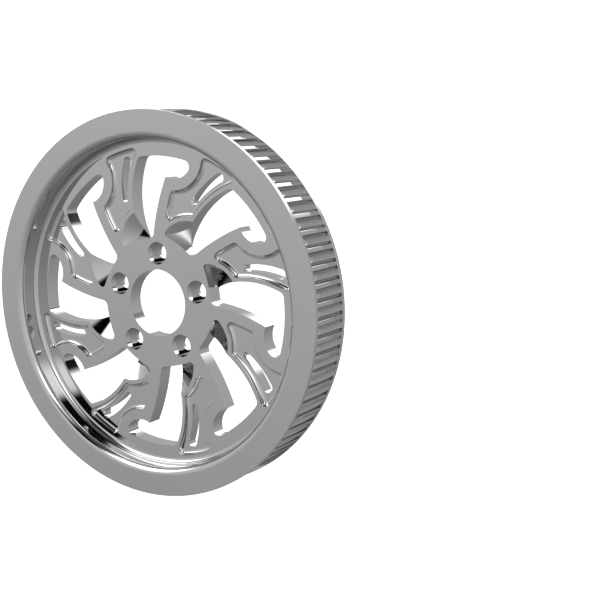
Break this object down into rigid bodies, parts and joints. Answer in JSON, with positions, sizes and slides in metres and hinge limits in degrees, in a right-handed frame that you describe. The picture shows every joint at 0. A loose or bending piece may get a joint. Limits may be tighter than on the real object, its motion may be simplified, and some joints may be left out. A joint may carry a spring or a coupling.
{
  "type": "belt pulley",
  "caption": "Toothed belt pulley with two flanges, a deep front recess, curved spokes with scalloped and slotted pockets, and a hub with counterbored bolt holes.",
  "frame": {"origin": "on the axis, in the plane of the rear face of the rim", "axes": "+Z along the axis out of the show face; +X and +Y in the rear plane, with +Y near one of the bolts"},
  "size_m": [0.3172, 0.3172, 0.0468],
  "materials": {
    "chrome": "polished chrome"
  },
  "bodies": {
    "root": {"pulley": "chrome"}
  },
  "joints": []
}
